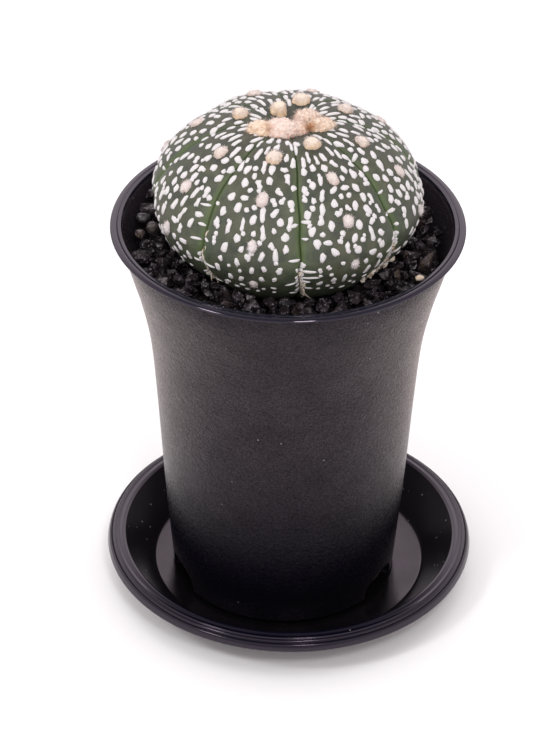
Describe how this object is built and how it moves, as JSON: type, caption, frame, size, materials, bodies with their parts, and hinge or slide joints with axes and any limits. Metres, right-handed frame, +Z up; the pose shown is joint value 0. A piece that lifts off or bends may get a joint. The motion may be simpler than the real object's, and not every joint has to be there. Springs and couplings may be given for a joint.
{
  "type": "potted star cactus",
  "caption": "Ribbed, white-flecked star cactus dome with woolly crown in a flared black plastic pot, topped with black lava gravel and standing on a round saucer.",
  "frame": {"origin": "middle of the saucer's underside, on the surface that it stands on", "axes": "+Z up; -Y towards the front, where the picture was taken from; +X to the viewer's right"},
  "size_m": [0.097, 0.097, 0.139],
  "materials": {
    "saucer_plastic": "satin black moulded plastic",
    "pot_plastic": "black plastic with a fine leathery grain and a smoother rim",
    "potting_soil": "dark crumbly peat and grit",
    "lava_gravel": "rough black lava grains, a few of them brownish",
    "cactus_skin": "satin grey-green skin with raised white felt flecks and beige areoles",
    "crown_wool": "soft matted wool, pale orange to cream"
  },
  "bodies": {
    "root": {"saucer": "saucer_plastic", "pot": "pot_plastic", "potting_soil": "potting_soil", "lava_gravel": "lava_gravel", "cactus_body": "cactus_skin", "crown_wool": "crown_wool"}
  },
  "joints": []
}
